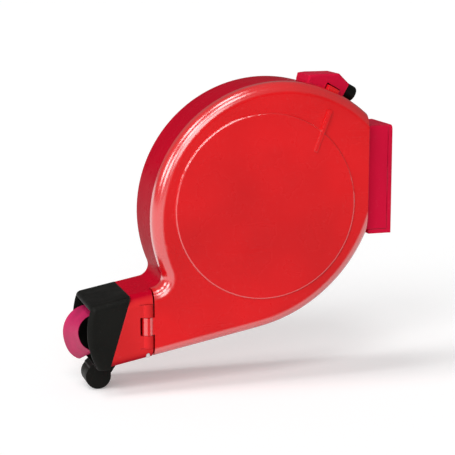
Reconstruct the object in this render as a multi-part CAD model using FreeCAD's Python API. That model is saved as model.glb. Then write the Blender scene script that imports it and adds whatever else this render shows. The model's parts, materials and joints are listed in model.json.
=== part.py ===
import FreeCAD, Part
import os
from math import asin, atan2, cos, pi, radians, sin, sqrt, tan

# Wall-hung ticket dispenser: a drum casing with a falling tail and a mouth at its front.
# Millimetres. The wall is the plane Y = 0 and the casing stands out of it along -Y.
# X runs across the casing, with the opening side cover on +X. Z is up, from the bracket's middle.

V = FreeCAD.Vector

# Casing form, seen from the side
casing_width = 54.0
casing_wall = 2.4
edge_round = 5.0
cover_round = 8.0
wall_gap = 20.0
crown_radius = 91.5
crown_ahead = 81.3
crown_drop = 21.0
belly_radius = 108.0
belly_overrun = 10.0
tail_ahead = 98.0
tail_drop = 99.0
tail_fall = 10.7
tail_length = 108.0
throat_height = 45.3
mouth_lean = 27.7
neck_round = 8.0

# Side cover and its hinge
cover_depth = 12.0
parting = 0.3
hinge_back = 31.4
hinge_sink = 2.5
knuckle_radius = 4.0
knuckle_gap = 0.5
hinge_parting = 1.1
knuckle_web = 2.0
pocket_gap = 1.5
pocket_wall = 1.0
knuckle_span = 30.0
cover_knuckle = 12.0
hinge_pin_radius = 1.5
disc_radius = 64.0
disc_height = 1.4
disc_round = 1.2
pull_rib_length = 30.0
pull_rib_width = 2.4
pull_rib_height = 1.0
pull_rib_lean = 21.0
pull_rib_ahead = 54.5
pull_rib_rise = 37.0

# Paper roll and its strip
roll_ahead = 94.4
roll_drop = 13.5
roll_radius = 62.0
core_radius = 15.0
core_bore = 12.7
paper_width = 28.0
core_overhang = 0.3
strip_thickness = 0.3
strip_fall = 3.5
strip_spare = 20.0
strip_out = 6.9
strip_bend_radius = 15.0
strip_curl_radius = 20.0
strip_curl_turn = 60.0
strip_twist = 30.0
strip_steps = 10
strip_corner = 5.0

# Roll spindle
spindle_gap = 0.5
spindle_wall = 2.8
spindle_length = 42.0
spindle_floor = 3.0
spindle_chamfer = 1.0
flange_radius = 30.0
flange_thickness = 2.0
flange_gap = 0.9
boss_radius = 9.0
boss_height = 6.0
boss_gap = 0.3

# Wall bracket and the casing's socket
bracket_width = 40.0
bracket_height = 76.0
bracket_plate = 3.0
rail_inner = 11.0
rail_web = 3.0
rail_lip = 2.5
rail_lip_thickness = 3.0
socket_plate = 3.0
socket_cap = 3.0
bracket_ledge = 3.0
rail_gap = 0.3
socket_relief = 0.6
wall_hole_radius = 2.3
wall_hole_spacing = 50.0
wall_hole_sink = 1.6

# Latch on top of the crown
latch_angle = 30.0
latch_low_x = -11.0
latch_length = 29.0
latch_step = 5.0
latch_rise = 3.5
latch_rear_height = 10.0
latch_round = 1.5
latch_nose_lean = 1.0
latch_nose_ease = 0.5
latch_nose_run = 6.0
latch_side_wall = 1.8
latch_back_wall = 2.5
chamber_fall = 1.4
button_x = 1.0
button_height = 5.8
button_radius = 5.6
button_head = 8.5
button_dome = 2.4
button_travel = 3.0
button_stem_radius = 2.6
plunger_length = 4.0
plunger_half_width = 6.0
plunger_half_height = 1.9
plunger_back = 7.0
spring_radius = 1.7
spring_wire = 0.4
spring_drop = 1.0
spring_turns = 5
catch_length = 8.0
catch_back = 6.0
catch_reach = 12.0
catch_thickness = 1.5
catch_gap = 0.5
catch_side_gap = 0.5
catch_swing_gap = 2.2
catch_lift_gap = 1.2
catch_eye_wall = 2.0
catch_root = 5.0

# Mouthpiece and lower lip
muzzle_reach_top = 3.1
muzzle_reach_mid = 10.8
muzzle_reach_low = 7.8
muzzle_low = 1.3
muzzle_mid = 20.0
muzzle_round = 4.0
muzzle_side_gap = 0.3
muzzle_wall = 2.6
chin_face = 10.8
chin_wall = 2.5
plug_length = 6.0
plug_wall = 2.2
plug_gap = 0.15
muzzle_screw_in = 5.0
muzzle_screw_x = 12.3
slot_side_gap = 2.0
slot_below = 1.2
slot_above = 1.8
blade_thickness = 0.8
blade_depth = 5.0
blade_teeth = 16
tooth_depth = 1.2
lip_width = 17.0
lip_radius = 8.7
lip_reach = 5.8
lip_fall = 8.3
lip_root = 9.0
lip_root_depth = 2.2
lip_peg_start = 1.5
lip_peg_length = 3.0
lip_peg_width = 12.0
lip_peg_gap = 0.05

# Paper path inside the tail
guide_start = 22.0
guide_end = 16.0
guide_thickness = 1.6
guide_gap = 0.6
guide_fence = 2.4
guide_flange_depth = 15.0
guide_screw_in = 14.0
roller_radius = 5.0
roller_at = 12.0
roller_gap = 0.15
roller_bore_gap = 0.06
axle_radius = 2.0
axle_head_radius = 3.2
axle_head = 1.0
axle_boss_radius = 5.0
flap_width = 16.0
flap_thickness = 0.5
flap_start = 44.0
flap_bend = 34.0
flap_end = 22.0
flap_rivet_at = 39.5
flap_gap = 0.3
flap_tip_length = 2.0
flap_tip_rise = 1.0

# Brake leaf on the casing's back wall
brake_width = 12.0
brake_thickness = 0.8
brake_top = 38.0
brake_bend = 22.0
brake_flick = 9.0
brake_flick_back = 3.0
brake_gap = 0.3
brake_screw_rise = 30.0

# Screws
screw_radius = 1.5
screw_head_radius = 3.0
screw_head = 1.8
screw_head_round = 0.7
screw_hole_gap = 0.05
screw_slot = 0.8
socket_screw_x = 11.5
socket_screw_z = 24.0
screw_bite = 2.1
wall_bite = 1.0
latch_bite = 4.0
rivet_head_radius = 2.4

# Cutting allowances
same_place = 0.01
cut_over = 1.0

half = casing_width / 2
inner_half = half - casing_wall
split = half - cover_depth
fall = radians(tail_fall)
lean = radians(mouth_lean)
across = V(1, 0, 0)
rearward = V(0, 1, 0)
up = V(0, 0, 1)
forward = V(0, -cos(fall), -sin(fall))
upward = V(0, -sin(fall), cos(fall))
tail_root = V(0, -tail_ahead, -tail_drop)
mouth_out = forward * cos(lean) + upward * sin(lean)
crown_centre = V(0, -crown_ahead, -crown_drop)
belly_y = belly_overrun - wall_gap - belly_radius
belly_u = (belly_y - tail_root.y - upward.y * belly_radius) / forward.y
belly_centre = tail_root + forward * belly_u + upward * belly_radius
roll_centre = V(0, -roll_ahead, -roll_drop)
strip_angle = radians(strip_fall)
strip_ahead = V(0, -cos(strip_angle), -sin(strip_angle))
strip_up = V(0, -sin(strip_angle), cos(strip_angle))
strip_root = roll_centre - strip_up * (roll_radius + strip_thickness / 2)
cover_edge = knuckle_radius + knuckle_gap
hinge_x = half - hinge_sink
hinge_middle = tail_root + forward * (tail_length - hinge_back) + upward * (throat_height / 2)
chin_u = tail_length + muzzle_reach_mid - chin_face
guide_stop = tail_length - guide_end
latch_turn = radians(latch_angle)
latch_out = V(0, sin(latch_turn), cos(latch_turn))
latch_rear = V(0, cos(latch_turn), -sin(latch_turn))
latch_top = crown_centre.z + crown_radius + latch_rise
latch_high_x = split - parting
spindle_radius = core_bore - spindle_gap


def tail(u, h, x=0.0):
    """The point u forwards along the tail's underside, h above it and x across."""
    return tail_root + forward * u + upward * h + across * x


def strip_at(p, q, x=0.0):
    """The point p forwards along the paper strip from the roll, q above it and x across."""
    return strip_root + strip_ahead * p + strip_up * q + across * x


def hinge_at(back, rise, x=0.0):
    """The point back behind the hinge line, rise above its middle and x across."""
    return V(x, hinge_middle.y + back, hinge_middle.z + rise)


def latch_at(s, h, x=0.0):
    """The point s behind the latch's rear face, h above the crown's radius there and x across."""
    return crown_centre + latch_out * (crown_radius + h) + latch_rear * s + across * x


def mouth_u(h):
    """How far forwards the mouth plane stands at height h above the tail's underside."""
    return tail_length - h * tan(lean)


def side_wire(points, x):
    """A closed straight-sided wire in the plane at x."""
    ring = [V(x, p.y, p.z) for p in points]
    return Part.makePolygon(ring + ring[:1])


def prism(points, x0, x1):
    """The solid over side-view points, between x0 and x1."""
    return Part.Face(side_wire(points, x0)).extrude(across * (x1 - x0))


def rod(centre, radius, x0, x1):
    """A round bar across the casing."""
    return Part.makeCylinder(radius, x1 - x0, V(x0, centre.y, centre.z), across)


def block(x0, x1, y0, y1, z0, z1):
    """A box between its low and high sides."""
    return Part.makeBox(x1 - x0, y1 - y0, z1 - z0, V(x0, y0, z0))


def arc_edge(centre, start, end):
    """The arc about centre from start to end, turning from +Y towards +Z."""
    first = atan2(start.z - centre.z, start.y - centre.y)
    last = atan2(end.z - centre.z, end.y - centre.y)
    if last < first:
        last += 2 * pi
    middle = (first + last) / 2
    radius = (start - centre).Length
    via = centre + V(0, cos(middle), sin(middle)) * radius
    return Part.Arc(start, via, end).toShape()


def line_edge(start, end):
    """A straight edge."""
    return Part.LineSegment(start, end).toShape()


def face_of(edges):
    """The face inside edges that close on each other."""
    return Part.Face(Part.Wire(Part.__sortEdges__(edges)))


def casing_face(inset, reach=0.0):
    """The casing's side-view profile, moved inwards by inset and its mouth moved forwards by reach."""
    crown_r = crown_radius - inset
    belly_r = belly_radius - inset
    back = -(wall_gap + inset)
    top = throat_height - inset
    neck_r = neck_round + inset
    foot = tail(0, top + neck_r) - crown_centre
    run = sqrt((crown_r + neck_r) ** 2 - foot.dot(upward) ** 2) - foot.dot(forward)
    neck_centre = tail(run, top + neck_r)
    towards_neck = (neck_centre - crown_centre).normalize()
    crown_end = crown_centre + towards_neck * crown_r
    neck_end = tail(run, top)
    mouth_top = tail(mouth_u(top) + reach, top)
    mouth_low = tail(mouth_u(inset) + reach, inset)
    belly_start = tail(belly_u, inset)
    belly_drop = sqrt(belly_r ** 2 - (back - belly_centre.y) ** 2)
    belly_end = V(0, back, belly_centre.z - belly_drop)
    crown_rise = sqrt(crown_r ** 2 - (back - crown_centre.y) ** 2)
    crown_start = V(0, back, crown_centre.z + crown_rise)
    return face_of([
        line_edge(mouth_low, belly_start),
        arc_edge(belly_centre, belly_start, belly_end),
        line_edge(belly_end, crown_start),
        arc_edge(crown_centre, crown_start, crown_end),
        arc_edge(neck_centre, neck_end, crown_end),
        line_edge(neck_end, mouth_top),
        line_edge(mouth_top, mouth_low),
    ])


def casing_solid(inset, x0, x1, reach=0.0):
    """A solid of the casing's profile between x0 and x1."""
    face = casing_face(inset, reach)
    face.translate(across * x0)
    return face.extrude(across * (x1 - x0))


def outline_edges(solid, side, reach=0.0):
    """The outline's edges at X = side, but not those at the flat back and at the mouth."""
    mouth = tail(tail_length + reach, 0)
    kept = []
    for edge in solid.Edges:
        box = edge.BoundBox
        on_side = box.XLength < same_place and abs(box.XMin - side) < same_place
        at_back = box.YLength < same_place
        at_mouth = max(abs((v.Point - mouth).dot(mouth_out)) for v in edge.Vertexes) < same_place
        if on_side and not at_back and not at_mouth:
            kept.append(edge)
    return kept


def casing_shell():
    """The whole casing as one hollow shell, open at the mouth, with a fuller shoulder on the cover's side."""
    outer = casing_solid(0, -half, half)
    outer = outer.makeFillet(edge_round, outline_edges(outer, -half))
    outer = outer.makeFillet(cover_round, outline_edges(outer, half))
    hollow = casing_solid(casing_wall, -inner_half, inner_half, plug_length)
    hollow = hollow.makeFillet(cover_round - casing_wall, outline_edges(hollow, inner_half, plug_length))
    return outer.cut(hollow)


def behind_hinge(back, x0, x1):
    """All space more than back behind the hinge line, between x0 and x1."""
    far = 2 * tail_length + 2 * crown_radius
    corners = [hinge_at(back, -far), hinge_at(back, far), hinge_at(far, far), hinge_at(far, -far)]
    return prism(corners, x0, x1)


def hinge_block(back0, back1, rise0, rise1, x0, x1):
    """A block set by the hinge line."""
    low = hinge_at(back0, rise0, x0)
    high = hinge_at(back1, rise1, x1)
    return block(low.x, high.x, low.y, high.y, low.z, high.z)


def hinge_rod(radius, rise0, rise1):
    """A round bar on the hinge line."""
    return Part.makeCylinder(radius, rise1 - rise0, hinge_at(0, rise0, hinge_x))


def screw(seat, inwards, length, head_radius=screw_head_radius, radius=screw_radius):
    """A slotted screw whose head rests on seat and whose shank goes inwards."""
    head = Part.makeCylinder(head_radius, screw_head, seat - inwards * screw_head, inwards)
    crown = [e for e in head.Edges
             if abs((e.CenterOfMass - seat).dot(inwards) + screw_head) < same_place]
    head = head.makeFillet(screw_head_round, crown)
    shank = Part.makeCylinder(radius, length, seat, inwards)
    slot = Part.makeBox(2 * head_radius, screw_slot, screw_slot)
    slot.translate(V(-head_radius, -screw_slot / 2, -screw_slot))
    slot.Placement = FreeCAD.Placement(
        seat - inwards * screw_head, FreeCAD.Rotation(up, inwards * -1)).multiply(slot.Placement)
    return head.fuse(shank).cut(slot)


def screw_hole(seat, inwards, length, radius=screw_radius):
    """The hole that a screw's shank goes into."""
    return Part.makeCylinder(radius + screw_hole_gap, length, seat, inwards)


def socket_screw_seats():
    """Where the socket's screws sit on the inside of the casing's back wall."""
    back = -(wall_gap + casing_wall)
    sides = (-1, 1)
    return [V(a * socket_screw_x, back, b * socket_screw_z) for a in sides for b in sides]


def brake_seat():
    """Where the brake leaf's foot sits on the casing's back wall."""
    return V(0, -(wall_gap + casing_wall), brake_screw_rise)


def guide_seats():
    """Where the paper guide's screws sit on its flange."""
    x = -inner_half + guide_thickness
    depth = -guide_gap - guide_flange_depth / 2
    return [strip_at(p, depth, x) for p in (guide_start + guide_screw_in, guide_stop - guide_screw_in)]


def latch_screw_seats():
    """Where the latch housing's screws sit inside the crown, with the way that each goes."""
    turn = latch_turn - asin((latch_length - latch_step) / crown_radius)
    outwards = V(0, sin(turn), cos(turn))
    inner = crown_radius - casing_wall
    sag = inner - sqrt(inner ** 2 - screw_head_radius ** 2)
    seat = crown_centre + outwards * (inner - sag)
    inset = screw_head_radius + latch_side_wall
    return [(seat + across * x, outwards) for x in (latch_low_x + inset, latch_high_x - inset)]


def muzzle_screw_seats():
    """Where the mouthpiece's screws sit in the tail's underside."""
    return [tail(mouth_u(0) - muzzle_screw_in, screw_head, x) for x in (-muzzle_screw_x, muzzle_screw_x)]


def flap_seat():
    """Where the pressure leaf's rivet head sits under the neck's top wall."""
    return tail(tail_length - flap_rivet_at, throat_height - casing_wall - flap_thickness)


def strip_height(u):
    """Height of the strip above the tail's underside at u."""
    rise = tan(fall - strip_angle)
    root = strip_root - tail_root
    return root.dot(upward) + (u - root.dot(forward)) * rise


def make_casing_base():
    """The drum casing, open on the cover's side, with its bosses and hinge knuckles."""
    body = casing_shell()
    body = body.cut(behind_hinge(cover_edge - hinge_parting, split - parting / 2, casing_width))
    end = knuckle_span / 2
    inner_end = cover_knuckle / 2 + parting
    pocket_front = -knuckle_radius - pocket_gap
    pocket_low = hinge_x - knuckle_radius - knuckle_gap
    body = body.cut(hinge_block(pocket_front, cover_edge, -end - parting, end + parting,
                                pocket_low, casing_width))
    for low, high in ((-end, -inner_end), (inner_end, end)):
        body = body.fuse(hinge_rod(knuckle_radius, low, high))
        body = body.fuse(hinge_block(pocket_front - pocket_wall, 0, low, high, hinge_x - casing_wall, half))
    body = body.cut(hinge_rod(hinge_pin_radius + screw_hole_gap, -throat_height, end - casing_wall))
    body = body.fuse(rod(roll_centre, boss_radius, -inner_half, boss_height - inner_half))
    body = body.cut(rod(roll_centre, screw_radius + screw_hole_gap, casing_wall / 2 - half,
                        boss_height - inner_half))
    boss_end = -paper_width / 2 - flange_gap
    body = body.fuse(rod(roller_centre(), axle_boss_radius, -inner_half, boss_end))
    body = body.cut(rod(roller_centre(), axle_radius + screw_hole_gap, -inner_half, boss_end))
    for seat in socket_screw_seats() + [brake_seat()]:
        body = body.cut(screw_hole(seat, rearward, casing_wall))
    for seat in guide_seats():
        body = body.cut(screw_hole(seat, across * -1, guide_thickness + casing_wall / 2))
    for seat, outwards in latch_screw_seats():
        body = body.cut(screw_hole(seat, outwards, casing_wall * 2))
    for seat in muzzle_screw_seats():
        body = body.cut(screw_hole(seat, upward, casing_wall))
        body = body.cut(screw_hole(seat, upward * -1, screw_head + cut_over, screw_head_radius))
    body = body.cut(screw_hole(flap_seat(), upward, flap_thickness + casing_wall / 2))
    return body


def make_side_cover():
    """The hinged side cover: a face with a skirt, a raised disc, a pull rib and the latch's catch."""
    cover = casing_shell().common(behind_hinge(cover_edge, split + parting / 2, casing_width))
    disc = rod(roll_centre, disc_radius, inner_half, half + disc_height)
    rim = [e for e in disc.Edges
           if e.BoundBox.XLength < same_place and abs(e.BoundBox.XMin - half - disc_height) < same_place]
    disc = disc.makeFillet(disc_round, rim)
    cover = cover.fuse(disc)
    rib_lean = radians(pull_rib_lean)
    rib_way = V(0, sin(rib_lean), cos(rib_lean))
    rib_side = V(0, cos(rib_lean), -sin(rib_lean))
    rib_middle = V(0, -pull_rib_ahead, pull_rib_rise)
    rib = prism([rib_middle + rib_way * (a * pull_rib_length / 2) + rib_side * (b * pull_rib_width / 2)
                 for a, b in ((-1, -1), (1, -1), (1, 1), (-1, 1))],
                inner_half, half + disc_height + pull_rib_height)
    cover = cover.fuse(rib)
    cover = cover.fuse(rod(roll_centre, core_radius, inner_half - flange_thickness * 2, inner_half))
    cover = cover.cut(rod(roll_centre, core_bore, inner_half - flange_thickness * 2, inner_half))
    end = cover_knuckle / 2
    cover = cover.fuse(hinge_rod(knuckle_radius, -end, end))
    cover = cover.fuse(hinge_block(0, cover_edge + knuckle_web, -end, end, hinge_x - casing_wall, half))
    cover = cover.cut(hinge_rod(hinge_pin_radius + screw_hole_gap, -end, end))
    return cover.fuse(make_catch())


def make_catch():
    """The catch: a post on the cover's skirt with a tongue that enters the latch housing."""
    tip = split - catch_reach
    rear = -catch_back
    front = rear - catch_length
    root_x = split + parting / 2
    tongue = prism([latch_at(s, h) for s, h in (
        (front, catch_gap), (rear, catch_gap), (rear, catch_gap + catch_thickness),
        (front, catch_gap + catch_thickness))], tip, root_x + catch_root)
    post = prism([latch_at(s, h) for s, h in (
        (front, -casing_wall), (rear, -casing_wall), (rear, catch_gap + catch_thickness),
        (front, catch_gap + catch_thickness))], root_x, root_x + catch_root)
    post = post.cut(rod(crown_centre, crown_radius - casing_wall, root_x, root_x + catch_root))
    eye = prism([latch_at(s, h) for s, h in (
        (front + catch_eye_wall, 0), (rear - catch_eye_wall, 0),
        (rear - catch_eye_wall, latch_step), (front + catch_eye_wall, latch_step))],
        tip + catch_eye_wall, tip + catch_eye_wall + plunger_half_width)
    return tongue.cut(eye).fuse(post)


def make_hinge_pin():
    """The pin through all hinge knuckles, driven in from below."""
    foot = -throat_height / 2 / cos(fall) + casing_wall / 2
    return hinge_rod(hinge_pin_radius, foot, knuckle_span / 2 - casing_wall - parting)


def make_wall_bracket():
    """The plate on the wall with two outward-lipped rails and a ledge below."""
    w = bracket_width / 2
    h = bracket_height / 2
    lip_front = -(wall_gap - socket_plate - rail_gap)
    lip_back = lip_front + rail_lip_thickness
    rail_top = h - socket_cap - rail_gap
    body = block(-w, w, -bracket_plate, 0, -h, h)
    for side in (-1, 1):
        web = block(rail_inner, rail_inner + rail_web, lip_front, -bracket_plate, -h, rail_top)
        lip = block(rail_inner, rail_inner + rail_web + rail_lip, lip_front, lip_back, -h, rail_top)
        rail = web.fuse(lip)
        if side < 0:
            rail = rail.mirror(V(0, 0, 0), across)
        body = body.fuse(rail)
    body = body.fuse(block(-w, w, lip_front, -bracket_plate, -h, bracket_ledge - h))
    corners = [e for e in body.Edges if abs(e.BoundBox.YLength - bracket_plate) < same_place
               and e.BoundBox.XLength < same_place and e.BoundBox.ZLength < same_place
               and abs(abs(e.BoundBox.XMin) - w) < same_place and e.BoundBox.ZMin > 0]
    body = body.makeFillet(bracket_plate, corners)
    for z in (-wall_hole_spacing / 2, wall_hole_spacing / 2):
        body = body.cut(Part.makeCylinder(wall_hole_radius, bracket_plate, V(0, -bracket_plate, z), rearward))
        sink = Part.makeCone(wall_hole_radius + wall_hole_sink, wall_hole_radius, wall_hole_sink,
                             V(0, -bracket_plate, z), rearward)
        body = body.cut(sink)
    return body.removeSplitter()


def make_mount_socket():
    """The socket on the casing's back: a plate and two inward hooks that slide down on the rails."""
    w = bracket_width / 2
    h = bracket_height / 2
    plate_back = -(wall_gap - socket_plate)
    lip_outer = rail_inner + rail_web + rail_lip + rail_gap
    hook_front = plate_back + rail_gap + rail_lip_thickness + rail_gap
    hook_back = hook_front + rail_lip_thickness
    low = bracket_ledge + rail_gap - h
    body = block(-w, w, -wall_gap, plate_back, low, h)
    body = body.fuse(block(-w, w, plate_back, -bracket_plate - rail_gap, h - socket_cap, h))
    for side in (-1, 1):
        wall = block(lip_outer, w, plate_back, -bracket_plate - rail_gap, low, h)
        hook = block(rail_inner + rail_web + rail_gap, w, hook_front, hook_back, low, h)
        cheek = wall.fuse(hook)
        if side < 0:
            cheek = cheek.mirror(V(0, 0, 0), across)
        body = body.fuse(cheek)
    body = body.cut(block(latch_high_x, w, -wall_gap, socket_relief - wall_gap, low, h))
    for seat in socket_screw_seats() + [brake_seat()]:
        body = body.cut(screw_hole(seat, rearward, casing_wall + screw_bite + parting))
    return body.removeSplitter()


def make_socket_screws():
    """The screws that hold the socket on the casing."""
    return Part.makeCompound([screw(seat, rearward, casing_wall + screw_bite)
                              for seat in socket_screw_seats()])


def latch_profile():
    """The latch housing's side-view corners, from its front foot over the top to its rear foot."""
    rear_top = latch_at(0, latch_rear_height)
    front_y = latch_at(-latch_length, 0).y
    front_rise = latch_top - latch_step
    top_rear_y = rear_top.y - (latch_top - rear_top.z)
    return [
        V(0, front_y - latch_nose_lean, front_rise - latch_step * 2),
        V(0, front_y, front_rise + latch_nose_lean),
        V(0, front_y + latch_nose_lean, latch_top - latch_nose_ease),
        V(0, front_y + latch_nose_run, latch_top),
        V(0, top_rear_y, latch_top),
        rear_top,
        latch_at(0, -casing_wall),
    ]


def make_latch_housing():
    """The housing on the crown, with a chamber for plunger and spring and a slot for the catch."""
    body = prism(latch_profile(), latch_low_x, latch_high_x)
    body = body.makeFillet(latch_round, [
        e for e in body.Edges
        if e.BoundBox.XLength < same_place and e.CenterOfMass.z > latch_top - latch_step * 2])
    body = body.cut(rod(crown_centre, crown_radius, latch_low_x, latch_high_x))
    front = -plunger_back - plunger_length - button_travel - spring_wire * (spring_turns + 2)
    top = button_height + button_stem_radius + parting
    chamber = [latch_at(s, h) for s, h in (
        (front, -latch_step), (front, top - chamber_fall), (-plunger_back - plunger_length, top),
        (-latch_back_wall, top), (-latch_back_wall, -latch_step))]
    body = body.cut(prism(chamber, latch_low_x + latch_side_wall, latch_high_x - latch_side_wall))
    body = body.cut(Part.makeCylinder(
        button_stem_radius + parting, latch_back_wall + 2 * cut_over,
        latch_at(-latch_back_wall - cut_over, button_height, button_x), latch_rear))
    way_front = -catch_back - catch_length - catch_side_gap
    way_rear = -catch_back + catch_swing_gap
    way_top = catch_gap + catch_thickness + catch_lift_gap
    way_in = [latch_at(s, h) for s, h in (
        (way_front, -latch_step), (way_front, way_top), (way_rear, way_top), (way_rear, -latch_step))]
    body = body.cut(prism(way_in, latch_high_x - latch_side_wall * 2, latch_high_x))
    for seat, outwards in latch_screw_seats():
        body = body.cut(screw_hole(seat, outwards, casing_wall + latch_step))
    return body


def make_latch_screws():
    """The screws that hold the latch housing, from inside the crown."""
    return Part.makeCompound([screw(seat, outwards, casing_wall + latch_bite)
                              for seat, outwards in latch_screw_seats()])


def make_latch_button():
    """The round push button with its stem and the plunger that the spring pushes back."""
    head_start = button_travel + parting
    start = latch_at(head_start, button_height, button_x)
    end = start + latch_rear * button_head
    head = Part.makeCylinder(button_radius, button_head, start, latch_rear)
    rim = [e for e in head.Edges if abs((e.CenterOfMass - end).dot(latch_rear)) < same_place]
    head = head.makeFillet(button_dome, rim)
    stem = Part.makeCylinder(button_stem_radius, head_start + plunger_back + cut_over,
                             latch_at(-plunger_back, button_height, button_x), latch_rear)
    low = button_height - plunger_half_height
    high = button_height + plunger_half_height
    plunger = prism([latch_at(s, h) for s, h in (
        (-plunger_back - plunger_length, low), (-plunger_back, low), (-plunger_back, high),
        (-plunger_back - plunger_length, high))],
        button_x - plunger_half_width, button_x + plunger_half_width)
    return head.fuse(stem).fuse(plunger)


def make_latch_spring():
    """The coil spring between the plunger and the housing's front wall."""
    length = button_travel + spring_wire * (spring_turns + 2) - 2 * spring_wire
    helix = Part.makeHelix(length / spring_turns, length, spring_radius)
    ring = Part.Wire(Part.makeCircle(spring_wire / 2, V(spring_radius, 0, 0), V(0, 1, 0)))
    coil = Part.Wire(helix).makePipeShell([ring], True, False)
    base = latch_at(-plunger_back - plunger_length - spring_wire, button_height - spring_drop, button_x)
    coil.Placement = FreeCAD.Placement(base, FreeCAD.Rotation(up, latch_rear * -1))
    return coil


def make_roll_spindle():
    """The hollow spindle with its flange, seated over the casing's boss."""
    start = -inner_half
    body = rod(roll_centre, spindle_radius, start, start + spindle_length)
    flange_end = -paper_width / 2 - flange_gap
    body = body.fuse(rod(roll_centre, flange_radius, flange_end - flange_thickness, flange_end))
    nose = [e for e in body.Edges if e.BoundBox.XLength < same_place
            and abs(e.BoundBox.XMin - start - spindle_length) < same_place]
    body = body.makeChamfer(spindle_chamfer, nose)
    floor = start + boss_height
    body = body.cut(rod(roll_centre, spindle_radius - spindle_wall, floor + spindle_floor,
                        start + spindle_length))
    body = body.cut(rod(roll_centre, boss_radius + boss_gap, start, floor))
    return body.cut(rod(roll_centre, screw_radius + screw_hole_gap * 2, floor, floor + spindle_floor))


def make_spindle_screw():
    """The screw that holds the spindle on the boss."""
    seat = roll_centre + across * (boss_height + spindle_floor - inner_half)
    return screw(seat, across * -1, spindle_floor + boss_height)


def make_roll_core():
    """The cardboard tube in the paper roll."""
    end = paper_width / 2 + core_overhang
    return rod(roll_centre, core_radius, -end, end).cut(rod(roll_centre, core_bore, -end, end))


def make_ticket_roll():
    """The wound paper."""
    end = paper_width / 2
    return rod(roll_centre, roll_radius, -end, end).cut(rod(roll_centre, core_radius, -end, end))


def make_ticket_strip():
    """The strip from the roll through the mouth; its free end hangs, curls back and turns to one side."""
    t = strip_thickness / 2
    w = paper_width / 2
    mouth_y = tail_root.y + forward.y * tail_length
    run = (strip_root.y - mouth_y + strip_out) / cos(strip_angle)
    bend_centre = strip_at(run, -strip_bend_radius)
    curl_centre = bend_centre + rearward * (strip_curl_radius - strip_bend_radius)
    turn = pi / 2 + radians(strip_curl_turn) - strip_angle

    def free_end(share):
        """The middle of the free end after a share of its turn, with its ways out, across and on."""
        angle = strip_angle + turn * share
        out = V(0, -sin(angle), cos(angle))
        onward = V(0, -cos(angle), -sin(angle))
        bending = angle < pi / 2
        middle = bend_centre + out * strip_bend_radius if bending else curl_centre + out * strip_curl_radius
        twist = radians(strip_twist) * share ** 2
        return middle, out * cos(twist) + across * sin(twist), across * cos(twist) - out * sin(twist), onward

    rings = []
    for i in range(strip_steps + 1):
        middle, out, sideways, onward = free_end(i / strip_steps)
        corners = [middle + sideways * (a * w) + out * (b * t)
                   for a, b in ((-1, -1), (1, -1), (1, 1), (-1, 1))]
        rings.append(Part.makePolygon(corners + corners[:1]))
    strip = prism([strip_at(p, q) for p, q in (
        (-strip_spare, -t), (run, -t), (run, t), (-strip_spare, t))], -w, w)
    strip = strip.fuse(Part.makeLoft(rings, True, False))
    depth = out * strip_corner
    reach = strip_corner + cut_over
    for side in (sideways * -1, sideways):
        pivot = middle - onward * strip_corner - depth + side * (w - strip_corner)
        square = Part.makePolygon([pivot, pivot + side * reach, pivot + (side + onward) * reach,
                                   pivot + onward * reach, pivot])
        corner = Part.Face(square).extrude(depth * 2)
        strip = strip.cut(corner.cut(Part.makeCylinder(strip_corner, 2 * strip_corner, pivot, out)))
    return strip


def roller_centre():
    """The guide roller's middle, under the strip."""
    return strip_at(roller_at, -roller_gap - roller_radius - strip_thickness / 2)


def make_guide_roller():
    """The roller that the strip runs over."""
    end = paper_width / 2
    body = rod(roller_centre(), roller_radius, -end, end)
    return body.cut(rod(roller_centre(), axle_radius + roller_bore_gap, -end, end))


def make_roller_axle():
    """The roller's axle, held in the casing's boss, with a head at its free end."""
    start = casing_wall / 4 - inner_half
    end = paper_width / 2 + parting
    shaft = rod(roller_centre(), axle_radius, start, end)
    return shaft.fuse(rod(roller_centre(), axle_head_radius, end, end + axle_head))


def make_paper_guide():
    """The ramp under the strip, with a flange on the casing's far wall."""
    x0 = -inner_half
    x1 = paper_width / 2 + slot_side_gap
    top = -guide_gap

    def plank(low, high, left, right):
        return prism([strip_at(p, q) for p, q in (
            (guide_start, low), (guide_stop, low), (guide_stop, high), (guide_start, high))], left, right)

    body = plank(top - guide_thickness, top, x0, x1)
    body = body.fuse(plank(top - guide_flange_depth, top, x0, x0 + guide_thickness))
    body = body.fuse(plank(top - guide_thickness, guide_fence, x1 - guide_thickness / 2, x1))
    for seat in guide_seats():
        body = body.cut(screw_hole(seat, across * -1, guide_thickness))
    return body


def make_guide_screws():
    """The screws through the paper guide's flange."""
    return Part.makeCompound([screw(seat, across * -1, guide_thickness + wall_bite)
                              for seat in guide_seats()])


def bent_strip(points, thickness, x0, x1):
    """A bent leaf: a prism over side-view points and the same points moved by the leaf's thickness."""
    back = []
    for i, point in enumerate(points):
        before = points[max(i - 1, 0)]
        after = points[min(i + 1, len(points) - 1)]
        way = (after - before).normalize()
        back.append(point + V(0, -way.z, way.y) * thickness)
    return prism(points + back[::-1], x0, x1)


def make_feed_flap():
    """The thin leaf under the neck's top wall that keeps the strip from slipping back."""
    top = throat_height - casing_wall
    end = tail_length - flap_end
    over = strip_height(end) + strip_thickness / 2 + flap_gap + flap_thickness
    points = [tail(end + flap_tip_length, over + flap_tip_rise), tail(end, over),
              tail(tail_length - flap_bend, top), tail(tail_length - flap_start, top)]
    body = bent_strip(points, -flap_thickness, -flap_width / 2, flap_width / 2)
    body = body.common(prism([tail(0, 0), tail(tail_length, 0), tail(tail_length, top), tail(0, top)],
                             -flap_width, flap_width))
    return body.cut(screw_hole(flap_seat(), upward, flap_thickness))


def make_flap_rivet():
    """The rivet that holds the pressure leaf."""
    return screw(flap_seat(), upward, flap_thickness + wall_bite, rivet_head_radius)


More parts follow.
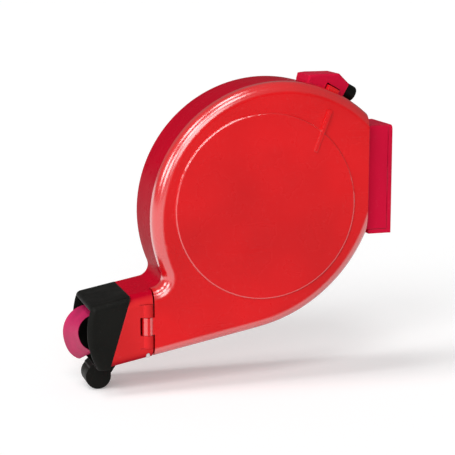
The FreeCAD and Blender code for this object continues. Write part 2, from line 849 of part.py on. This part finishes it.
def make_brake_spring():
    """The leaf on the casing's back wall that bears on the roll and stops it running on."""
    back = -(wall_gap + casing_wall)
    touch = V(0, roll_centre.y + roll_radius + brake_gap + brake_thickness, roll_centre.z)
    points = [V(0, back, brake_top), V(0, back, brake_bend), touch,
              touch + V(0, brake_flick_back, -brake_flick)]
    body = bent_strip(points, -brake_thickness, -brake_width / 2, brake_width / 2)
    reach = brake_thickness + cut_over
    return body.cut(screw_hole(brake_seat() - rearward * reach, rearward, reach))


def make_brake_screw():
    """The screw through the brake leaf's foot."""
    seat = brake_seat() - rearward * brake_thickness
    return screw(seat, rearward, brake_thickness + casing_wall + screw_bite)


def muzzle_solid():
    """The mouthpiece's outer form in front of the mouth plane."""
    side = half - muzzle_side_gap
    low = tail(mouth_u(0), 0)
    low_front = tail(tail_length + muzzle_reach_low, muzzle_low)
    front = tail(tail_length + muzzle_reach_mid, muzzle_mid)
    top_front = tail(tail_length + muzzle_reach_top, throat_height)
    top = tail(mouth_u(throat_height), throat_height)
    face = face_of([
        line_edge(low, low_front),
        Part.Arc(low_front, front, top_front).toShape(),
        line_edge(top_front, top),
        line_edge(top, low),
    ])
    face.translate(across * -side)
    body = face.extrude(across * (2 * side))
    edges = [e for e in body.Edges
             if any((v.Point - V(v.X, top_front.y, top_front.z)).Length < same_place for v in e.Vertexes)]
    return body.makeFillet(muzzle_round, edges)


def make_mouthpiece():
    """The black mouthpiece: hood, cheeks, shelf and chin panel, with a plug that enters the tail."""
    body = muzzle_solid()
    side = half - muzzle_side_gap - muzzle_wall
    low = muzzle_wall
    high = throat_height - muzzle_wall
    far = tail_length * 2
    body = body.cut(prism([tail(chin_u, low), tail(far, low), tail(far, high), tail(chin_u, high)],
                          -side, side))
    plug_inset = plug_gap + plug_wall
    side = inner_half - plug_inset
    low = casing_wall + plug_inset
    high = throat_height - low
    rear = chin_u - chin_wall
    body = body.cut(prism([tail(mouth_u(low) - cut_over, low), tail(rear, low), tail(rear, high),
                           tail(mouth_u(high) - cut_over, high)], -side, side))
    body = body.fuse(make_plug(plug_gap, 0).cut(make_plug(plug_inset, cut_over)))
    slot_half = paper_width / 2 + slot_side_gap
    body = body.cut(prism([strip_at(p, q) for p, q in (
        (guide_stop, -slot_below), (far, -slot_below), (far, slot_above), (guide_stop, slot_above))],
        -slot_half, slot_half))
    for seat in muzzle_screw_seats():
        body = body.cut(screw_hole(seat, upward, casing_wall + plug_inset))
    body = body.cut(blade_plate(0.0))
    return body.cut(lip_peg(lip_peg_gap))


def make_mouthpiece_screws():
    """The screws that hold the mouthpiece's plug, from under the tail."""
    length = casing_wall + plug_gap + plug_wall - screw_head
    return Part.makeCompound([screw(seat, upward, length) for seat in muzzle_screw_seats()])


def make_plug(inset, over):
    """The block that fills the tail's end, less inset all round and longer by over at both ends."""
    side = inner_half - inset
    low = casing_wall + inset
    high = throat_height - low
    back = plug_length / cos(lean) + over
    ahead = cut_over + over
    body = prism([tail(mouth_u(low) - back, low), tail(mouth_u(low) + ahead, low),
                  tail(mouth_u(high) + ahead, high), tail(mouth_u(high) - back, high)], -side, side)
    corners = [e for e in body.Edges if abs(e.BoundBox.XMin - side) < same_place
               and abs((e.Vertexes[0].Point - e.Vertexes[1].Point).dot(mouth_out)) > same_place]
    return body.makeFillet(cover_round - casing_wall - inset, corners)


def blade_plate(shrink):
    """The flat of the tear blade, on the chin panel's front under the slot."""
    width = paper_width / 2 + slot_side_gap * 2 - shrink
    top = strip_height(chin_u) - slot_below
    low = top - blade_depth + shrink
    back = chin_u - blade_thickness
    return prism([tail(back, low), tail(chin_u, low), tail(chin_u, top), tail(back, top)], -width, width)


def make_tear_blade():
    """The toothed steel strip along the slot's lower edge."""
    width = paper_width / 2 + slot_side_gap * 2 - parting
    body = blade_plate(parting)
    top = strip_height(chin_u) - slot_below
    pitch = 2 * width / blade_teeth
    for i in range(blade_teeth):
        left = -width + pitch * i
        notch = [(left, top + same_place), (left + pitch / 2, top - tooth_depth),
                 (left + pitch, top + same_place)]
        ring = [tail(chin_u - blade_thickness - cut_over, h, x) for x, h in notch]
        gap = Part.Face(Part.makePolygon(ring + ring[:1]))
        body = body.cut(gap.extrude(forward * (blade_thickness + 2 * cut_over)))
    return body


def lip_peg(gap):
    """The peg on top of the lower lip that snaps into the mouthpiece's shelf, larger by gap all round."""
    start = tail_length + lip_peg_start - gap
    end = start + lip_peg_length + 2 * gap
    side = lip_peg_width / 2 + gap
    return prism([tail(start, -lip_root_depth), tail(end, -lip_root_depth), tail(end, muzzle_wall),
                  tail(start, muzzle_wall)], -side, side)


def make_lower_lip():
    """The round-ended tongue below the mouth."""
    bead_u = tail_length + lip_reach
    front = bead_u + lip_radius
    shelf = tail_length + muzzle_reach_low
    side = lip_width / 2
    body = rod(tail(bead_u, -lip_fall), lip_radius, -side, side)
    stem = prism([tail(u, h) for u, h in (
        (tail_length - lip_root, 0), (tail_length - lip_root, -lip_root_depth),
        (bead_u - lip_radius, -lip_fall), (front, -lip_fall), (front - lip_radius / 2, 0),
        (shelf, muzzle_low), (mouth_u(0), 0))], -side, side)
    above = prism([tail(u, h) for u, h in (
        (0, 0), (mouth_u(0), 0), (shelf, muzzle_low), (front, muzzle_low), (front, throat_height),
        (0, throat_height))], -half, half)
    return body.fuse(stem).cut(above).fuse(lip_peg(0.0)).removeSplitter()


def make_all():
    """Every piece by its node's name."""
    return {
        "wall_bracket": make_wall_bracket(),
        "casing_base": make_casing_base(),
        "mount_socket": make_mount_socket(),
        "socket_screws": make_socket_screws(),
        "side_cover": make_side_cover(),
        "hinge_pin": make_hinge_pin(),
        "latch_housing": make_latch_housing(),
        "latch_screws": make_latch_screws(),
        "latch_button": make_latch_button(),
        "latch_spring": make_latch_spring(),
        "roll_spindle": make_roll_spindle(),
        "spindle_screw": make_spindle_screw(),
        "roll_core": make_roll_core(),
        "ticket_roll": make_ticket_roll(),
        "ticket_strip": make_ticket_strip(),
        "guide_roller": make_guide_roller(),
        "roller_axle": make_roller_axle(),
        "paper_guide": make_paper_guide(),
        "guide_screws": make_guide_screws(),
        "feed_flap": make_feed_flap(),
        "flap_rivet": make_flap_rivet(),
        "brake_spring": make_brake_spring(),
        "brake_screw": make_brake_screw(),
        "mouthpiece": make_mouthpiece(),
        "mouthpiece_screws": make_mouthpiece_screws(),
        "tear_blade": make_tear_blade(),
        "lower_lip": make_lower_lip(),
    }


os.makedirs("parts", exist_ok=True)
for node, shape in make_all().items():
    shape.exportStep("parts/" + node + ".step")
    print(node, len(shape.Solids), shape.isValid(), round(shape.Volume, 2))
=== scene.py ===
import json
import math

import bpy
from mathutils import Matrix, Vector

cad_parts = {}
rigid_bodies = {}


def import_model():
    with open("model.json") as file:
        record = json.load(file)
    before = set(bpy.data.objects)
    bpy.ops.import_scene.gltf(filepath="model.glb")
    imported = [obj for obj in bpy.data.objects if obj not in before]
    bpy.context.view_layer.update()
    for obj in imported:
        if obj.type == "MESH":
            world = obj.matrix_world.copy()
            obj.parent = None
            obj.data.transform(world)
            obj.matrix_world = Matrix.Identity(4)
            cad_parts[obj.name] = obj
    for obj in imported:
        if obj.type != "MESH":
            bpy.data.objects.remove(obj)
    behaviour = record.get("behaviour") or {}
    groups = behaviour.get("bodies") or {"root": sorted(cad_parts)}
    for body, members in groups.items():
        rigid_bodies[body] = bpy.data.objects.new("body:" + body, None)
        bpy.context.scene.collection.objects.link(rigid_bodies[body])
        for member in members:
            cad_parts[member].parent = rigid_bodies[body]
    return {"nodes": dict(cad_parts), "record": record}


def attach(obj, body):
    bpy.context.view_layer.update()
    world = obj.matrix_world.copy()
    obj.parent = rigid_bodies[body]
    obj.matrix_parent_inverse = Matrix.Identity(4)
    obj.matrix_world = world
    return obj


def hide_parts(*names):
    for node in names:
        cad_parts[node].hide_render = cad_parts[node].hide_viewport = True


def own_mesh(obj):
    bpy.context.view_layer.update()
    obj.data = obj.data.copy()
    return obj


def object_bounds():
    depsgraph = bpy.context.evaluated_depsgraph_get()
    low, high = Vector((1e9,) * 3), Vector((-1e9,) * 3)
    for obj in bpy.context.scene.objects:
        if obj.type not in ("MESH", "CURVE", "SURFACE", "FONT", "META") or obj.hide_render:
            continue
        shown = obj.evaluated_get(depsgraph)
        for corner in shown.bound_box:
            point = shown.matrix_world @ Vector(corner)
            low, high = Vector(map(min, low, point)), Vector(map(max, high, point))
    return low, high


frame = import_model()

# Looks of the wall-hung ticket dispenser. Metres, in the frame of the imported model.
# The side cover faces +X, the mouth -Y and the wall stands at Y = 0.

# Colours
RED = (0.72, 0.006, 0.009)
RED_MATT = (0.68, 0.025, 0.028)
# Darker crimson on the casing's rim: painted shade, the rim being the same red plastic as the casing's side
# faces.
PAINTED_RIM_SHADE = (0.44, 0.002, 0.016)
# The red plastic of the bracket, socket and latch housing, darkened to crimson as painted shade.
RED_PAINTED_SHADE = (0.62, 0.008, 0.042)
BLACK = (0.006, 0.006, 0.005)
GREY = (0.30, 0.30, 0.29)
ZINC = (0.62, 0.63, 0.64)
SPRING = (0.55, 0.54, 0.52)
CARD = (0.36, 0.26, 0.16)
TICKET = (0.46, 0.006, 0.085)
RED_SCUFF = (0.80, 0.20, 0.20)
CRIMSON_SCUFF = (0.70, 0.16, 0.22)
BLACK_SCUFF = (0.09, 0.09, 0.085)
GREY_SCUFF = (0.50, 0.50, 0.48)
STEEL_STAIN = (0.22, 0.20, 0.17)

# Camera
VIEW_AZIMUTH = 73.0
VIEW_ELEVATION = 11.0
VIEW_LENS = 120.0
VIEW_WIDTH = 0.315

# Places on the model
ROLL_CENTRE = (0.0, -0.0944, -0.0135)
RIM_END = 0.0240
SIDE_START = 0.0266
FLAT_FACING = (0.955, 0.992)
TICKET_PITCH = 0.045
PERFORATION_WIDTH = 0.006
PERFORATION_PITCH = 0.0016
PERFORATION_SHARE = 0.55
CARD_WINDING = 0.019
CARD_SEAM = 0.03

# Light and floor
WORLD_STRENGTH = 0.16
FLOOR_GAP = 0.0005
FLOOR_REACH = 30.0
FLOOR_PALE = 0.85
FLOOR_LIFT = 0.26
FRONT = (1.0, -0.30, 0.45)
FRONT_SPREAD = 30.0
FRONT_STRENGTH = 0.72
STRIP_SPREAD = 20.0
STRIP_STRENGTH = 0.52
STRIP = (
    ("strip_front_low", (0.586, -0.755, 0.295)),
    ("strip_front_middle", (0.584, -0.524, 0.620)),
    ("strip_front_high", (0.542, -0.184, 0.820)),
    ("strip_back_low", (0.0, -0.927, 0.375)),
    ("strip_back_middle", (0.0, -0.657, 0.754)),
    ("strip_back_high", (-0.045, -0.253, 0.967)),
)

cad_low, cad_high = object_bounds()


class Graph:
    """A material's nodes."""

    def __init__(self, name):
        self.material = bpy.data.materials.new(name)
        self.material.use_nodes = True
        self.tree = self.material.node_tree
        self.tree.nodes.clear()
        here = self.add("ShaderNodeTexCoord")
        self.place = here.outputs["Object"]
        self.facing = here.outputs["Normal"]

    def add(self, kind, **settings):
        """A node with its settings."""
        node = self.tree.nodes.new(kind)
        for key, value in settings.items():
            setattr(node, key, value)
        return node

    def join(self, value, socket):
        """Feeds a socket from another socket or a plain value."""
        if isinstance(value, bpy.types.NodeSocket):
            self.tree.links.new(value, socket)
        else:
            socket.default_value = value

    def math(self, operation, a, b=0.0):
        """A sum on numbers."""
        node = self.add("ShaderNodeMath", operation=operation)
        for value, socket in zip((a, b), node.inputs):
            self.join(value, socket)
        return node.outputs[0]

    def vector(self, operation, a, b=(0.0, 0.0, 0.0)):
        """A sum on vectors."""
        node = self.add("ShaderNodeVectorMath", operation=operation)
        self.join(a, node.inputs[0])
        self.join(b, node.inputs[1])
        return node.outputs["Value"] if operation in ("LENGTH", "DOT_PRODUCT") else node.outputs[0]

    def scaled(self, source, factor):
        """A vector or colour times a number."""
        node = self.add("ShaderNodeVectorMath", operation="SCALE")
        self.join(source, node.inputs[0])
        self.join(factor, node.inputs["Scale"])
        return node.outputs[0]

    def axis(self, source, name):
        """One axis of a vector."""
        axes = self.add("ShaderNodeSeparateXYZ")
        self.join(source, axes.inputs[0])
        return axes.outputs[name]

    def noise(self, scale, detail=3.0, stretch=(1.0, 1.0, 1.0)):
        """Noise over the piece, finer with scale and drawn out where stretch is small."""
        node = self.add("ShaderNodeTexNoise")
        self.join(self.vector("MULTIPLY", self.place, stretch), node.inputs["Vector"])
        self.join(scale, node.inputs["Scale"])
        self.join(detail, node.inputs["Detail"])
        return node.outputs["Fac"]

    def spread(self, value, low, high, to_low=0.0, to_high=1.0):
        """Maps low to high onto to_low to to_high, and no further."""
        node = self.add("ShaderNodeMapRange", clamp=True)
        for number, socket in zip((value, low, high, to_low, to_high), node.inputs):
            self.join(number, socket)
        return node.outputs[0]

    def blend(self, factor, a, b):
        """One colour over another."""
        node = self.add("ShaderNodeMix", data_type="RGBA")
        self.join(factor, node.inputs[0])
        for value, socket in ((a, node.inputs[6]), (b, node.inputs[7])):
            self.join(value if isinstance(value, bpy.types.NodeSocket) else (*value, 1.0), socket)
        return node.outputs[2]

    def bevel(self, radius):
        """The normal with edges eased to a radius."""
        node = self.add("ShaderNodeBevel", samples=6)
        self.join(radius, node.inputs["Radius"])
        return node.outputs[0]

    def edges(self, radius, gain):
        """Where the piece has edges, from 0 to 1."""
        flat = self.add("ShaderNodeNewGeometry").outputs["Normal"]
        along = self.vector("DOT_PRODUCT", self.bevel(radius), flat)
        return self.spread(self.math("SUBTRACT", 1.0, along), 0.0, gain)

    def rings(self, radius, scale):
        """Noise that changes with the radius alone."""
        node = self.add("ShaderNodeTexNoise", noise_dimensions="1D")
        self.join(self.math("MULTIPLY", radius, scale), node.inputs["W"])
        return node.outputs["Fac"]

    def bump(self, height, distance, strength, normal=None):
        """A normal raised by height."""
        node = self.add("ShaderNodeBump")
        self.join(height, node.inputs["Height"])
        self.join(distance, node.inputs["Distance"])
        self.join(strength, node.inputs["Strength"])
        if normal is not None:
            self.join(normal, node.inputs["Normal"])
        return node.outputs[0]

    def surface(self, **values):
        """The shader, fed by name with underscores for spaces."""
        shader = self.add("ShaderNodeBsdfPrincipled")
        for key, value in values.items():
            if isinstance(value, tuple):
                value = (*value, 1.0)
            self.join(value, shader.inputs[key.replace("_", " ")])
        self.tree.links.new(shader.outputs[0], self.add("ShaderNodeOutputMaterial").inputs[0])
        return self.material


def shade(colour, factor):
    """A colour made darker or lighter."""
    return tuple(min(1.0, channel * factor) for channel in colour)


def glossy_plastic(name, colour, sides, scuffed, shine, polish):
    """Moulded plastic, polished where it is rounded: faint flow marks, hairline scratches, rubbed edges."""
    g = Graph(name)
    flat = g.spread(g.math("ABSOLUTE", g.axis(g.facing, "X")), *FLAT_FACING)
    off_middle = g.math("ABSOLUTE", g.axis(g.place, "X"))
    # The rim takes colour and the side faces take sides; on the casing base the darker rim colour is
    # painted shade.
    base = g.blend(g.spread(off_middle, RIM_END, SIDE_START), colour, sides)
    cloud = g.spread(g.noise(14.0, 2.0), 0.35, 0.65, 0.90, 1.08)
    flow = g.spread(g.noise(30.0, 4.0, (1.0, 0.25, 1.0)), 0.55, 0.75, 0.0, 0.05)
    tint = g.scaled(base, g.math("SUBTRACT", cloud, flow))
    scratched = g.spread(g.noise(210.0, 5.0, (1.0, 0.06, 0.5)), 0.63, 0.70)
    dust = g.spread(g.noise(420.0, 3.0), 0.62, 0.72, 0.0, 0.06)
    rubbed = g.math("MULTIPLY", g.edges(0.0009, 0.35), g.spread(g.noise(65.0, 5.0), 0.42, 0.62))
    tint = g.blend(dust, tint, scuffed)
    tint = g.blend(g.math("MULTIPLY", rubbed, 0.30), tint, scuffed)
    rough = g.spread(g.noise(48.0, 4.0), 0.3, 0.7, 0.24, 0.32)
    rough = g.math("ADD", rough, g.math("MULTIPLY", scratched, 0.10))
    rough = g.math("ADD", rough, g.math("MULTIPLY", rubbed, 0.15))
    peel = g.bump(g.noise(260.0, 2.0), 0.00004, 0.35, g.bevel(0.0005))
    grain = g.bump(g.noise(2600.0, 2.0), 0.00001, 0.30, peel)
    fine = g.bump(scratched, 0.00001, 0.20, grain)
    return g.surface(Base_Color=tint, Roughness=rough, Specular_IOR_Level=shine, Normal=fine,
                     Coat_Weight=g.math("MULTIPLY", g.math("SUBTRACT", 1.0, flat), polish),
                     Coat_IOR=2.3, Coat_Roughness=0.20)


def satin_plastic(name, colour, scuffed, grain_scale):
    """Satin moulded plastic with a spark-eroded grain and polished edges."""
    g = Graph(name)
    tint = g.blend(g.spread(g.noise(40.0, 4.0), 0.35, 0.65), shade(colour, 0.75), shade(colour, 1.25))
    rubbed = g.math("MULTIPLY", g.edges(0.0008, 0.4), g.spread(g.noise(90.0, 5.0), 0.40, 0.60))
    tint = g.blend(g.math("MULTIPLY", rubbed, 0.5), tint, scuffed)
    dust = g.spread(g.noise(600.0, 4.0), 0.60, 0.75, 0.0, 0.10)
    tint = g.blend(dust, tint, scuffed)
    rough = g.spread(g.noise(120.0, 4.0), 0.3, 0.7, 0.42, 0.58)
    rough = g.math("SUBTRACT", rough, g.math("MULTIPLY", rubbed, 0.15))
    cells = g.add("ShaderNodeTexVoronoi", feature="SMOOTH_F1")
    g.join(g.place, cells.inputs["Vector"])
    g.join(grain_scale, cells.inputs["Scale"])
    eroded = g.bump(cells.outputs["Distance"], 0.00005, 0.45, g.bevel(0.0005))
    wavy = g.bump(g.noise(150.0, 3.0), 0.00008, 0.25, eroded)
    return g.surface(Base_Color=tint, Roughness=rough, Specular_IOR_Level=0.10, Normal=wavy)


def plated_steel(name, colour, roughness):
    """Plated steel with drawn lines and a cloudy plating."""
    g = Graph(name)
    drawn = g.noise(1400.0, 3.0, (1.0, 0.05, 1.0))
    cloud = g.noise(160.0, 4.0)
    tint = g.blend(g.spread(cloud, 0.35, 0.65), shade(colour, 0.78), shade(colour, 1.12))
    tint = g.blend(g.spread(g.noise(500.0, 4.0), 0.64, 0.74, 0.0, 0.35), tint, STEEL_STAIN)
    rough = g.math("ADD", g.spread(drawn, 0.3, 0.7, roughness, roughness + 0.14),
                   g.spread(cloud, 0.4, 0.7, 0.0, 0.08))
    lines = g.bump(drawn, 0.00001, 0.35, g.bevel(0.00025))
    return g.surface(Base_Color=tint, Metallic=1.0, Roughness=rough, Normal=lines)


def across_roll(g):
    """Distance from the roll's axis."""
    offset = g.vector("SUBTRACT", g.place, ROLL_CENTRE)
    return g.vector("LENGTH", g.vector("MULTIPLY", offset, (0.0, 1.0, 1.0)))


def wound_paper(name, colour):
    """Paper wound in hundreds of turns: rings of ply edges, and a few bands of turns lighter than the rest.
    """
    g = Graph(name)
    radius = across_roll(g)
    plies = g.rings(radius, 7000.0)
    bands = g.rings(radius, 420.0)
    tint = g.blend(g.spread(plies, 0.35, 0.65), shade(colour, 0.70), shade(colour, 1.20))
    tint = g.blend(g.spread(bands, 0.40, 0.62, 0.0, 0.5), tint, shade(colour, 1.7))
    fibre = g.noise(900.0, 5.0)
    height = g.math("ADD", g.math("MULTIPLY", plies, 0.8), g.math("MULTIPLY", fibre, 0.4))
    return g.surface(Base_Color=tint, Roughness=g.spread(fibre, 0.3, 0.7, 0.78, 0.92),
                     Specular_IOR_Level=0.25, Normal=g.bump(height, 0.00012, 0.7))


def ticket_paper(name, colour):
    """Ticket stock: paper fibres, a soft cloud in the ink and a perforated line between tickets."""
    g = Graph(name)
    fibre = g.noise(1100.0, 6.0, (1.0, 0.35, 1.0))
    cloud = g.noise(70.0, 4.0)
    tint = g.blend(g.spread(cloud, 0.35, 0.65), shade(colour, 0.86), shade(colour, 1.14))
    tint = g.blend(g.spread(fibre, 0.52, 0.70, 0.0, 0.22), tint, shade(colour, 1.6))
    along = g.math("FRACT", g.math("DIVIDE", g.axis(g.place, "Y"), TICKET_PITCH))
    line = g.math("LESS_THAN", g.math("ABSOLUTE", g.math("SUBTRACT", along, 0.5)), PERFORATION_WIDTH)
    across = g.math("FRACT", g.math("DIVIDE", g.axis(g.place, "X"), PERFORATION_PITCH))
    holes = g.math("LESS_THAN", across, PERFORATION_SHARE)
    perforated = g.math("MULTIPLY", line, holes)
    # The perforation's cuts are painted dark: painted shade in the cuts.
    tint = g.blend(g.math("MULTIPLY", perforated, 0.8), tint, shade(colour, 0.2))
    height = g.math("SUBTRACT", g.math("MULTIPLY", fibre, 0.5), perforated)
    return g.surface(Base_Color=tint, Roughness=g.spread(fibre, 0.3, 0.7, 0.50, 0.66),
                     Specular_IOR_Level=0.35, Normal=g.bump(height, 0.00006, 0.6))


def spiral_card(name, colour):
    """Grey-brown card tube, wound on a slant from strips, with loose fibres."""
    g = Graph(name)
    fibre = g.noise(700.0, 6.0, (0.3, 1.0, 1.0))
    offset = g.vector("SUBTRACT", g.place, ROLL_CENTRE)
    angle = g.math("ARCTAN2", g.axis(offset, "Z"), g.axis(offset, "Y"))
    turn = g.math("DIVIDE", angle, 2.0 * math.pi)
    winding = g.math("FRACT", g.math("ADD", g.math("DIVIDE", g.axis(offset, "X"), CARD_WINDING), turn))
    seam = g.spread(g.math("ABSOLUTE", g.math("SUBTRACT", winding, 0.5)), 0.0, CARD_SEAM, 1.0, 0.0)
    tint = g.blend(g.spread(fibre, 0.35, 0.65), shade(colour, 0.75), shade(colour, 1.25))
    tint = g.blend(g.math("MULTIPLY", seam, 0.6), tint, shade(colour, 0.45))
    height = g.math("SUBTRACT", g.math("MULTIPLY", fibre, 0.6), seam)
    return g.surface(Base_Color=tint, Roughness=0.9, Specular_IOR_Level=0.2,
                     Normal=g.bump(height, 0.0001, 0.8))


def dress():
    """Gives every node of the model its material."""
    red = glossy_plastic("red_moulding", RED, RED, RED_SCUFF, shine=0.22, polish=1.0)
    # The casing base: crimson painted shade on its rim, red on its side faces.
    rim_painted_shade = glossy_plastic("rim_painted_shade_moulding", PAINTED_RIM_SHADE, RED_MATT, CRIMSON_SCUFF,
                              shine=0.005, polish=0.0)
    # Bracket, socket and latch housing: the red plastic in painted shade.
    painted_shade_red = glossy_plastic("painted_shade_red_moulding", RED_PAINTED_SHADE, RED_PAINTED_SHADE, CRIMSON_SCUFF, shine=0.005, polish=0.0)
    black = satin_plastic("black_moulding", BLACK, BLACK_SCUFF, 2300.0)
    grey = satin_plastic("grey_moulding", GREY, GREY_SCUFF, 1900.0)
    zinc = plated_steel("zinc_plate", ZINC, 0.28)
    spring = plated_steel("spring_strip", SPRING, 0.20)
    looks = {
        red: ("side_cover",),
        rim_painted_shade: ("casing_base",),
        painted_shade_red: ("wall_bracket", "mount_socket", "latch_housing"),
        black: ("latch_button", "mouthpiece", "lower_lip"),
        grey: ("roll_spindle", "guide_roller", "paper_guide"),
        zinc: ("socket_screws", "hinge_pin", "latch_screws", "spindle_screw", "roller_axle",
               "guide_screws", "flap_rivet", "brake_screw", "mouthpiece_screws", "tear_blade"),
        spring: ("latch_spring", "feed_flap", "brake_spring"),
        spiral_card("card_tube", CARD): ("roll_core",),
        wound_paper("wound_paper", TICKET): ("ticket_roll",),
        ticket_paper("ticket_stock", TICKET): ("ticket_strip",),
    }
    for material, nodes in looks.items():
        for node in nodes:
            for held in frame["nodes"][node].material_slots:
                held.material = material


def add_latch_coil():
    """The latch's coil spring as its own copy, held by the body that the latch joint hangs from, in place
    of the model's spring.
    """
    joints = {joint["name"]: joint for joint in frame["record"]["behaviour"]["joints"]}
    latch = joints["latch_press"]
    coil = bpy.data.objects.new("latch_coil", frame["nodes"]["latch_spring"].data.copy())
    bpy.context.collection.objects.link(coil)
    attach(coil, latch["parent"])
    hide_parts("latch_spring")
    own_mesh(coil)


def seen_rays(tree):
    """1 for camera, glossy and transmission rays, 0 for light on the object."""
    path = tree.nodes.new("ShaderNodeLightPath")
    total = path.outputs["Is Camera Ray"]
    for name in ("Is Glossy Ray", "Is Transmission Ray"):
        greater = tree.nodes.new("ShaderNodeMath")
        greater.operation = "MAXIMUM"
        tree.links.new(total, greater.inputs[0])
        tree.links.new(path.outputs[name], greater.inputs[1])
        total = greater.outputs[0]
    return total


def make_world():
    """A plain pale surround that lights the object softly."""
    world = bpy.data.worlds.new("studio")
    bpy.context.scene.world = world
    world.use_nodes = True
    surround = world.node_tree.nodes["Background"]
    surround.inputs["Color"].default_value = (1.0, 1.0, 1.0, 1.0)
    surround.inputs["Strength"].default_value = WORLD_STRENGTH


def make_floor(height):
    """A pale floor that keeps the object's shadow."""
    mesh = bpy.data.meshes.new("floor")
    corners = [(x * FLOOR_REACH, y * FLOOR_REACH, height) for x, y in ((-1, -1), (1, -1), (1, 1), (-1, 1))]
    mesh.from_pydata(corners, [], [(0, 1, 2, 3)])
    floor = bpy.data.objects.new("floor", mesh)
    bpy.context.collection.objects.link(floor)
    material = bpy.data.materials.new("floor")
    material.use_nodes = True
    tree = material.node_tree
    tree.nodes.clear()
    matt = tree.nodes.new("ShaderNodeBsdfDiffuse")
    matt.inputs["Color"].default_value = (FLOOR_PALE, FLOOR_PALE, FLOOR_PALE, 1.0)
    lift = tree.nodes.new("ShaderNodeEmission")
    amount = tree.nodes.new("ShaderNodeMath")
    amount.operation = "MULTIPLY"
    amount.inputs[1].default_value = FLOOR_LIFT
    tree.links.new(seen_rays(tree), amount.inputs[0])
    tree.links.new(amount.outputs[0], lift.inputs["Strength"])
    total = tree.nodes.new("ShaderNodeAddShader")
    tree.links.new(matt.outputs[0], total.inputs[0])
    tree.links.new(lift.outputs[0], total.inputs[1])
    tree.links.new(total.outputs[0], tree.nodes.new("ShaderNodeOutputMaterial").inputs[0])
    mesh.materials.append(material)


def make_sun(name, way, spread, strength):
    """Soft light from one direction, the same everywhere."""
    lamp = bpy.data.lights.new(name, "SUN")
    lamp.angle = math.radians(spread)
    lamp.energy = strength
    holder = bpy.data.objects.new(name, lamp)
    bpy.context.collection.objects.link(holder)
    holder.rotation_euler = Vector(way).to_track_quat("Z", "Y").to_euler()


def make_camera(middle):
    """The camera at the photograph's angle."""
    data = bpy.data.cameras.new("camera")
    data.lens = VIEW_LENS
    camera = bpy.data.objects.new("camera", data)
    bpy.context.collection.objects.link(camera)
    a = math.radians(VIEW_AZIMUTH)
    e = math.radians(VIEW_ELEVATION)
    back = Vector((math.sin(a) * math.cos(e), -math.cos(a) * math.cos(e), math.sin(e)))
    camera.location = middle + back * (VIEW_WIDTH * VIEW_LENS / data.sensor_width)
    camera.rotation_euler = back.to_track_quat("Z", "Y").to_euler()
    bpy.context.scene.camera = camera


dress()
add_latch_coil()
middle = (cad_low + cad_high) / 2
make_world()
make_floor(cad_low.z - FLOOR_GAP)
make_sun("front_lamp", FRONT, FRONT_SPREAD, FRONT_STRENGTH)
for name, way in STRIP:
    make_sun(name, way, STRIP_SPREAD, STRIP_STRENGTH)
make_camera(middle)
bpy.context.scene.view_settings.view_transform = "Standard"
